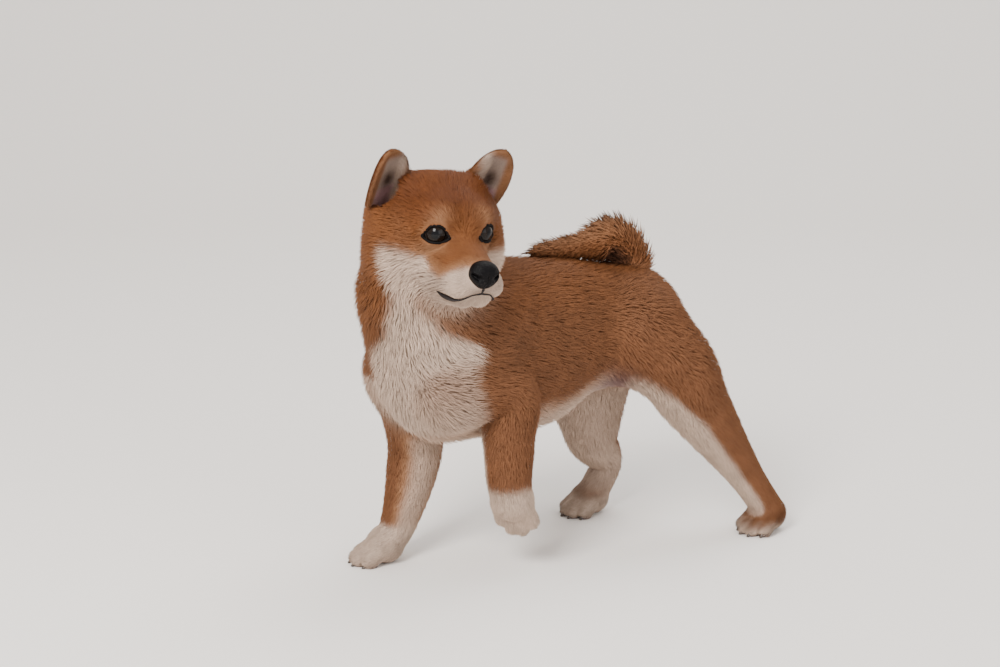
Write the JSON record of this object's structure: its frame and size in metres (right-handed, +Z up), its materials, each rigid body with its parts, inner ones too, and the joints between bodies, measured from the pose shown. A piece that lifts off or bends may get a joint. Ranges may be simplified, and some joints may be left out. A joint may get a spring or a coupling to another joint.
{
  "type": "shiba inu puppy, still model",
  "caption": "Life-size still model of a young shiba inu dog, walking with a lifted foreleg, its head turned to its left and its tail curled over its back.",
  "frame": {"origin": "middle of the model's footprint, at floor level", "axes": "+X forward along the trunk, +Y to the puppy's left, +Z up"},
  "size_m": [0.3672, 0.1921, 0.3438],
  "materials": {
    "coat_red": "short dense red fur",
    "coat_cream": "short cream fur",
    "nose_leather": "fine-grained, moist",
    "eye": "wet gloss"
  },
  "bodies": {
    "root": {"head": "coat_red", "nose": "nose_leather", "eye_left": "eye", "eye_right": "eye", "ear_left": "coat_red", "ear_right": "coat_red", "neck": "coat_red", "chest": "coat_red", "belly": "coat_red", "rump": "coat_red", "thigh_left": "coat_red", "thigh_right": "coat_red", "foreleg_left": "coat_red", "foreleg_right": "coat_red", "shank_left": "coat_red", "shank_right": "coat_red", "forepaw_left": "coat_cream", "forepaw_right": "coat_cream", "hindpaw_left": "coat_cream", "hindpaw_right": "coat_cream", "tail": "coat_red"}
  },
  "joints": []
}
